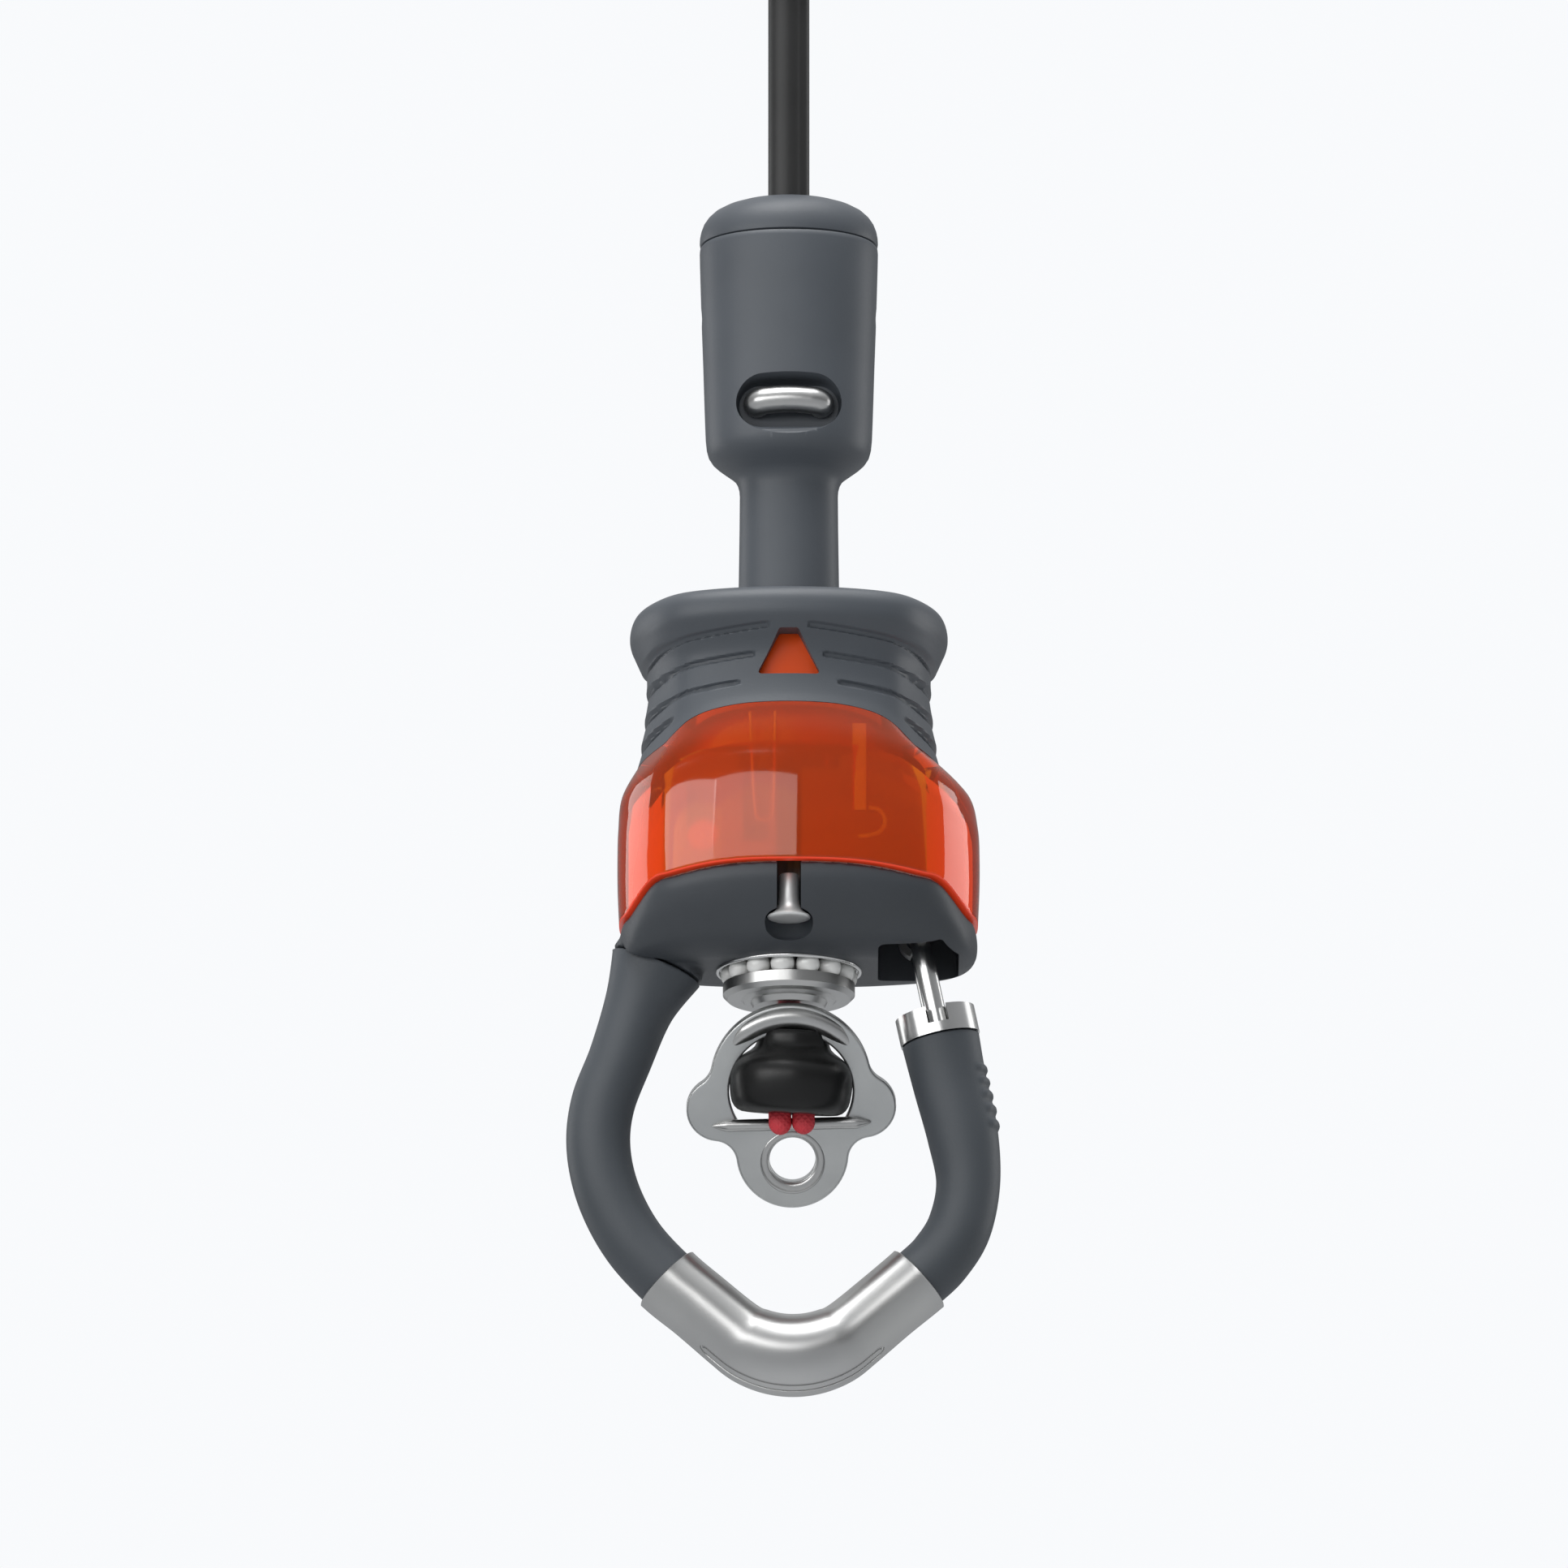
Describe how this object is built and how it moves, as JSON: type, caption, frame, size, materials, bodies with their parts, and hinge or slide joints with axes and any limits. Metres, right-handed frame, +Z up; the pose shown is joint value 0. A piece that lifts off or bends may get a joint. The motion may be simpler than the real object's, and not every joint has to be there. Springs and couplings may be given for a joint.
{
  "type": "kite quick release",
  "caption": "Push-away quick release on a kite line: sliding grip with clear casing, gated harness loop that drops open, and a ball-bearing swivel with a leash plate.",
  "frame": {"origin": "centre of the eye at the upper end of the line, from which the part hangs", "axes": "+Z up along the line, +X to the gate side of the loop, -Y to the viewer of the picture"},
  "size_m": [0.0853, 0.058, 0.3113],
  "materials": {
    "tube_black": "satin",
    "slate_plastic": "fine grained",
    "slate_rubber": "matt",
    "orange_clear": "translucent gloss",
    "satin_steel": "satin blasted",
    "white_ball": "polished",
    "stopper_black": "satin",
    "red_cord": "braided"
  },
  "bodies": {
    "frame": {"depower_tube": "tube_black", "end_fitting": "satin_steel", "top_cap": "slate_plastic", "head_housing": "slate_plastic", "line_bar": "satin_steel", "anchor_pin": "satin_steel", "spine_tube": "satin_steel", "neck_pins": "satin_steel", "spring_collar": "satin_steel", "handle_spring": "satin_steel", "lower_block": "slate_plastic", "guide_stud": "satin_steel", "catch_spring": "satin_steel", "catch_screw": "satin_steel", "outer_race": "satin_steel", "thrust_washer": "satin_steel"},
    "handle": {"grip": "slate_plastic", "casing": "orange_clear", "release_wedge": "orange_clear"},
    "loop": {"arm_flex_neck": "slate_rubber", "left_arm": "slate_rubber", "saddle": "satin_steel", "right_arm": "slate_rubber", "loop_core": "satin_steel", "fork_collar": "satin_steel", "bail": "satin_steel"},
    "ball_set": {"bearing_balls": "white_ball"},
    "swivel": {"swivel_disc": "satin_steel", "swivel_nut": "satin_steel"},
    "leash_unit": {"leash_plate": "satin_steel", "cross_pin": "satin_steel", "stopper_ball": "stopper_black", "safety_line": "red_cord"}
  },
  "joints": [
    {"name": "handle_slide", "type": "slide", "parent": "frame", "child": "handle", "axis": [0, 0, 1], "range_m": [0, 0.012], "stiffness_N_per_m": 600, "springref_m": -0.008, "deforming": ["handle_spring", "catch_spring"]},
    {"name": "loop_swing", "type": "hinge", "parent": "frame", "child": "loop", "pos_m": [-0.0292, 0, -0.2242], "axis": [0, 0.5, -0.866], "range_deg": [0, 30.2], "deforming": ["arm_flex_neck"]},
    {"name": "ball_orbit", "type": "hinge", "parent": "frame", "child": "ball_set", "pos_m": [0, 0, -0.2194], "axis": [0, 0, 1], "continuous": true},
    {"name": "swivel_spin", "type": "hinge", "parent": "frame", "child": "swivel", "pos_m": [0, 0, -0.2222], "axis": [0, 0, 1], "continuous": true},
    {"name": "leash_pull", "type": "slide", "parent": "swivel", "child": "leash_unit", "axis": [0, 0, -1], "range_m": [0, 0.014]}
  ],
  "couplings": [
    {"joint": "loop_swing", "follows": "handle_slide", "rad_per_m": 43.633},
    {"joint": "ball_orbit", "follows": "swivel_spin", "ratio": 0.5}
  ]
}
